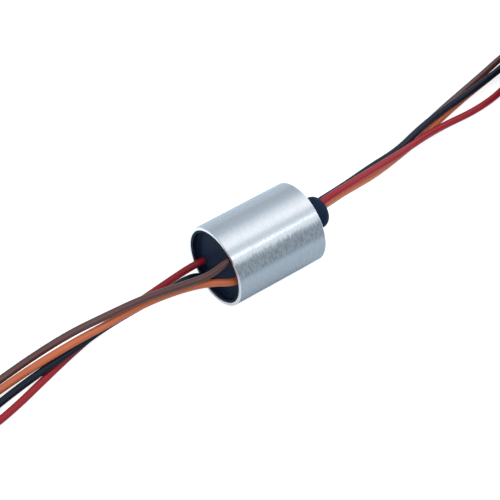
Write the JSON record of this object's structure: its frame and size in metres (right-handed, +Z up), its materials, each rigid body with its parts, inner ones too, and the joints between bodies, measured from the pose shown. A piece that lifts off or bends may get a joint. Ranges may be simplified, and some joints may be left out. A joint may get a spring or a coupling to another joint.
{
  "type": "slip ring",
  "caption": "Super-miniature capsule slip ring: turned metal housing, turning hub, and coloured flying leads out of both ends.",
  "frame": {"origin": "bottom centre of the capsule without its leads, on the surface that it lies on", "axes": "+X along the capsule's axis from the stator end to the rotor's nose, +Z up"},
  "size_m": [0.0754, 0.0151, 0.0065],
  "materials": {
    "shell": "fine turned",
    "moulding": "satin black",
    "resin": "gloss black epoxy",
    "barrier": "satin",
    "cage": "moulded nylon",
    "bearing_steel": "ground",
    "gold": "gold plated",
    "tie": "soft",
    "tinned": "tinned copper",
    "coiled_leads": "insulation of four colours",
    "lead_black": "smooth insulation",
    "lead_brown": "smooth insulation",
    "lead_red": "smooth insulation",
    "lead_orange": "smooth insulation"
  },
  "bodies": {
    "housing": {"brush_a_1": "gold", "brush_a_2": "gold", "brush_a_3": "gold", "brush_a_4": "gold", "brush_b_1": "gold", "brush_b_2": "gold", "brush_b_3": "gold", "brush_b_4": "gold", "brush_block_a": "moulding", "brush_block_b": "moulding", "end_plug": "moulding", "front_bearing_front_shield": "bearing_steel", "front_bearing_outer_race": "bearing_steel", "front_bearing_rear_shield": "bearing_steel", "housing_shell": "shell", "rear_bearing_front_shield": "bearing_steel", "rear_bearing_outer_race": "bearing_steel", "rear_bearing_rear_shield": "bearing_steel", "rear_potting": "resin", "stator_coil": "coiled_leads", "stator_coil_tie": "tie", "stator_lead_black": "lead_black", "stator_lead_brown": "lead_brown", "stator_lead_ends": "tinned", "stator_lead_orange": "lead_orange", "stator_lead_red": "lead_red"},
    "rotor": {"barrier_1": "barrier", "barrier_2": "barrier", "barrier_3": "barrier", "barrier_4": "barrier", "barrier_5": "barrier", "front_bearing_inner_race": "bearing_steel", "rear_bearing_inner_race": "bearing_steel", "ring_terminal_1": "gold", "ring_terminal_2": "gold", "ring_terminal_3": "gold", "ring_terminal_4": "gold", "rotor_coil": "coiled_leads", "rotor_coil_tie": "tie", "rotor_lead_black": "lead_black", "rotor_lead_brown": "lead_brown", "rotor_lead_ends": "tinned", "rotor_lead_orange": "lead_orange", "rotor_lead_red": "lead_red", "rotor_potting": "resin", "rotor_shaft": "moulding", "slip_ring_1": "gold", "slip_ring_2": "gold", "slip_ring_3": "gold", "slip_ring_4": "gold"},
    "front_cage": {"front_bearing_cage": "cage", "front_bearing_balls": "bearing_steel"},
    "rear_cage": {"rear_bearing_cage": "cage", "rear_bearing_balls": "bearing_steel"}
  },
  "joints": [
    {"name": "rotor_spin", "type": "hinge", "parent": "housing", "child": "rotor", "pos_m": [0, 0, 0.00325], "axis": [1, 0, 0], "continuous": true},
    {"name": "front_cage_spin", "type": "hinge", "parent": "housing", "child": "front_cage", "pos_m": [0, 0, 0.00325], "axis": [1, 0, 0], "continuous": true},
    {"name": "rear_cage_spin", "type": "hinge", "parent": "housing", "child": "rear_cage", "pos_m": [0, 0, 0.00325], "axis": [1, 0, 0], "continuous": true}
  ],
  "couplings": [
    {"joint": "front_cage_spin", "follows": "rotor_spin", "ratio": 0.4111},
    {"joint": "rear_cage_spin", "follows": "rotor_spin", "ratio": 0.375}
  ]
}
